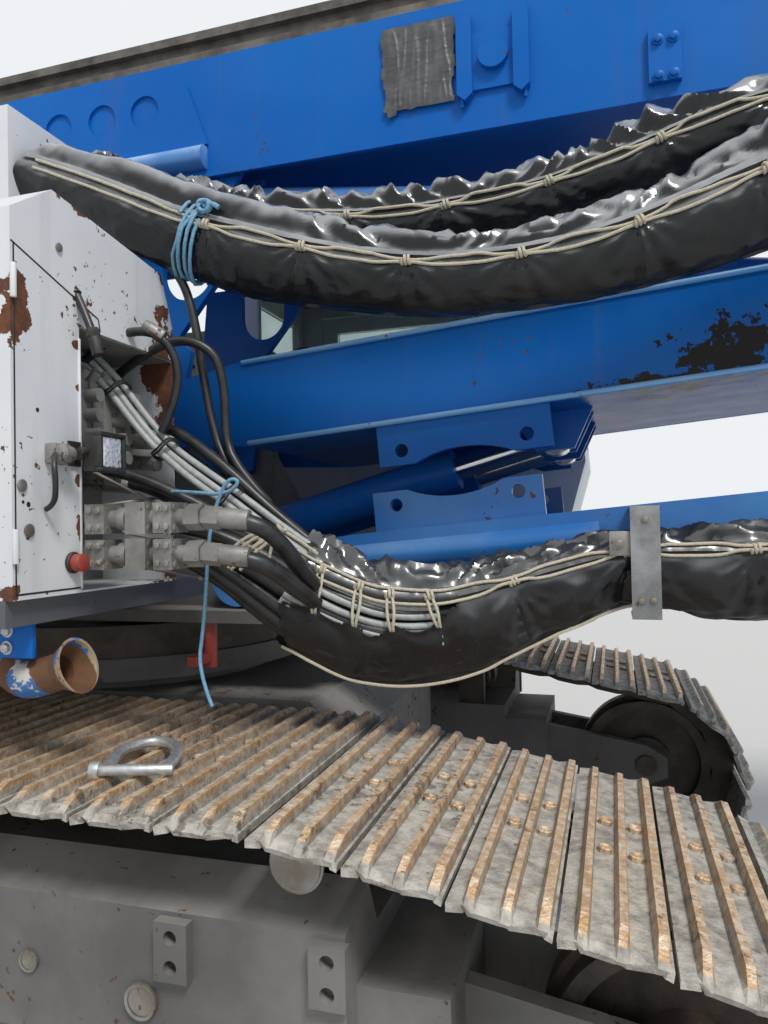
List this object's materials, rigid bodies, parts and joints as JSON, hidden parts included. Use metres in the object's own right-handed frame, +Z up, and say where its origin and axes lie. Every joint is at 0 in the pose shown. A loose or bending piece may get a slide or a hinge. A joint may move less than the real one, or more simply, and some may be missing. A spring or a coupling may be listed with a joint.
{
  "type": "rotary drilling rig",
  "caption": "Rotary drilling rig on tracks, parked with its mast laid back over the upper structure, with a parallel arm linkage, a crowd sledge and a rotary drive sleeve.",
  "frame": {"origin": "on the ground, under the middle of the machine's box", "axes": "+X forward, +Y to the machine's left, +Z up"},
  "size_m": [13.5, 3, 4.36],
  "materials": {
    "blue_paint": "weathered gloss",
    "white_paint": "weathered, rust at edges",
    "frame_paint": "dusty dark",
    "beige_paint": "weathered",
    "track_steel": "worn, dusty",
    "dark_steel": "greasy",
    "galvanised": "dull zinc",
    "chrome_rod": "polished",
    "rail_steel": "greased",
    "pipe_brass": "dusty",
    "window_glass": "tinted",
    "seat_cloth": "worn",
    "hose_cover": "wrinkled vinyl",
    "lamp_housing": "matt",
    "red_paint": "worn",
    "valve_grey": "dusty"
  },
  "bodies": {
    "undercarriage": {"car_body": "frame_paint", "side_frame_left": "frame_paint", "side_frame_right": "frame_paint", "track_left": "track_steel", "track_right": "track_steel", "front_idlers": "dark_steel", "drive_sprockets": "dark_steel", "track_rollers": "dark_steel", "slew_ring_outer": "dark_steel"},
    "upper_structure": {"slew_ring_inner": "dark_steel", "upper_frame": "frame_paint", "side_decks": "white_paint", "counterweight": "blue_paint", "engine_house": "white_paint", "engine_block": "valve_grey", "cooler_house": "beige_paint", "hydraulic_tank": "white_paint", "manifold_cabinet": "white_paint", "manifold_panel": "valve_grey", "valve_block": "valve_grey", "flange_pipes": "pipe_brass", "work_lamp": "lamp_housing", "stub_pipe": "blue_paint", "slew_lock_lever": "red_paint", "mast_cradle": "blue_paint", "cab_shell": "white_paint", "cab_glass": "window_glass", "operator_station": "seat_cloth", "exhaust": "dark_steel", "handrails": "galvanised", "winch_frames": "blue_paint", "hose_bundle_upper": "hose_cover", "hose_bundle_mast": "hose_cover", "hose_bundle_lower": "hose_cover"},
    "cab_door": {"cab_door": "white_paint", "cab_door_glass": "window_glass"},
    "house_door_left": {"house_door_left": "white_paint"},
    "house_door_right": {"house_door_right": "white_paint"},
    "main_winch_drum": {"main_winch_drum": "blue_paint"},
    "aux_winch_drum": {"aux_winch_drum": "blue_paint"},
    "lower_arm": {"lower_arm": "blue_paint", "hose_bracket": "galvanised"},
    "upper_arm": {"upper_arm": "blue_paint"},
    "mast_carrier": {"mast_carrier": "blue_paint"},
    "luff_barrels": {"luff_barrels": "blue_paint"},
    "luff_rods": {"luff_rods": "chrome_rod"},
    "mast": {"mast_body": "blue_paint", "mast_rails": "rail_steel", "mast_foot": "blue_paint", "mast_head": "blue_paint", "crowd_barrel": "blue_paint"},
    "tilt_barrels": {"tilt_barrels": "blue_paint"},
    "tilt_rods": {"tilt_rods": "chrome_rod"},
    "front_sheaves": {"front_sheaves": "dark_steel"},
    "rear_sheaves": {"rear_sheaves": "dark_steel"},
    "rotary_head": {"rotary_carriage": "beige_paint", "rotary_gearbox": "blue_paint", "crowd_rod": "chrome_rod"},
    "drive_sleeve": {"drive_sleeve": "dark_steel"}
  },
  "joints": [
    {"name": "slew", "type": "hinge", "parent": "undercarriage", "child": "upper_structure", "pos_m": [0.9, 0, 1.16], "axis": [0, 0, 1], "continuous": true},
    {"name": "boom_luff", "type": "hinge", "parent": "upper_structure", "child": "lower_arm", "pos_m": [1.65, 0, 1.42], "axis": [0, -1, 0], "range_deg": [0, 45], "deforming": ["hose_bundle_upper", "hose_bundle_mast", "hose_bundle_lower"]},
    {"name": "upper_arm_pivot", "type": "hinge", "parent": "upper_structure", "child": "upper_arm", "pos_m": [1.25, 0, 1.97], "axis": [0, -1, 0], "range_deg": [0, 45]},
    {"name": "carrier_pivot", "type": "hinge", "parent": "lower_arm", "child": "mast_carrier", "pos_m": [4.45, 0, 1.655], "axis": [0, -1, 0], "range_deg": [-45, 0]},
    {"name": "luff_barrel_pivot", "type": "hinge", "parent": "upper_structure", "child": "luff_barrels", "pos_m": [1.15, 0, 1.45], "axis": [0, -1, 0], "range_deg": [0, 36.17]},
    {"name": "luff_rod_slide", "type": "slide", "parent": "luff_barrels", "child": "luff_rods", "axis": [0.9637, 0, 0.2669], "range_m": [0, 0.29353]},
    {"name": "mast_tilt", "type": "hinge", "parent": "mast_carrier", "child": "mast", "pos_m": [4.5, 0, 2.7], "axis": [0, 1, 0], "range_deg": [0, 90]},
    {"name": "tilt_barrel_pivot", "type": "hinge", "parent": "mast", "child": "tilt_barrels", "pos_m": [1.5, 0, 2.74], "axis": [0, 1, 0], "range_deg": [0, 4.63]},
    {"name": "tilt_rod_slide", "type": "slide", "parent": "tilt_barrels", "child": "tilt_rods", "axis": [0.9909, 0, -0.1349], "range_m": [0, 0.9821]},
    {"name": "crowd", "type": "slide", "parent": "mast", "child": "rotary_head", "axis": [1, 0, 0], "range_m": [-4, 1.2]},
    {"name": "drive_sleeve_spin", "type": "hinge", "parent": "rotary_head", "child": "drive_sleeve", "pos_m": [3.25, 0, 3.96], "axis": [1, 0, 0], "continuous": true},
    {"name": "front_sheaves_spin", "type": "hinge", "parent": "mast", "child": "front_sheaves", "pos_m": [-6.25, 0, 3.63], "axis": [0, 1, 0], "continuous": true},
    {"name": "rear_sheaves_spin", "type": "hinge", "parent": "mast", "child": "rear_sheaves", "pos_m": [-6.25, 0, 2.96], "axis": [0, 1, 0], "continuous": true},
    {"name": "main_winch_spin", "type": "hinge", "parent": "upper_structure", "child": "main_winch_drum", "pos_m": [-0.15, 0, 1.96], "axis": [0, 1, 0], "continuous": true},
    {"name": "aux_winch_spin", "type": "hinge", "parent": "upper_structure", "child": "aux_winch_drum", "pos_m": [0.6, 0, 1.8], "axis": [0, 1, 0], "continuous": true},
    {"name": "cab_door_hinge", "type": "hinge", "parent": "upper_structure", "child": "cab_door", "pos_m": [1.227, 1.474, 1.66], "axis": [0, 0, 1], "range_deg": [0, 110]},
    {"name": "house_door_left_hinge", "type": "hinge", "parent": "upper_structure", "child": "house_door_left", "pos_m": [-1.983, 1.464, 1.68], "axis": [0, 0, 1], "range_deg": [0, 120]},
    {"name": "house_door_right_hinge", "type": "hinge", "parent": "upper_structure", "child": "house_door_right", "pos_m": [-1.983, -1.464, 1.68], "axis": [0, 0, -1], "range_deg": [0, 120]}
  ],
  "couplings": [
    {"joint": "upper_arm_pivot", "follows": "boom_luff", "ratio": 1},
    {"joint": "carrier_pivot", "follows": "boom_luff", "ratio": -1},
    {"joint": "luff_barrel_pivot", "follows": "boom_luff", "ratio": 0.79261},
    {"joint": "luff_rod_slide", "follows": "boom_luff", "m_per_rad": 0.37119},
    {"joint": "tilt_barrel_pivot", "follows": "mast_tilt", "ratio": 0.04584},
    {"joint": "tilt_rod_slide", "follows": "mast_tilt", "m_per_rad": 0.62395}
  ]
}
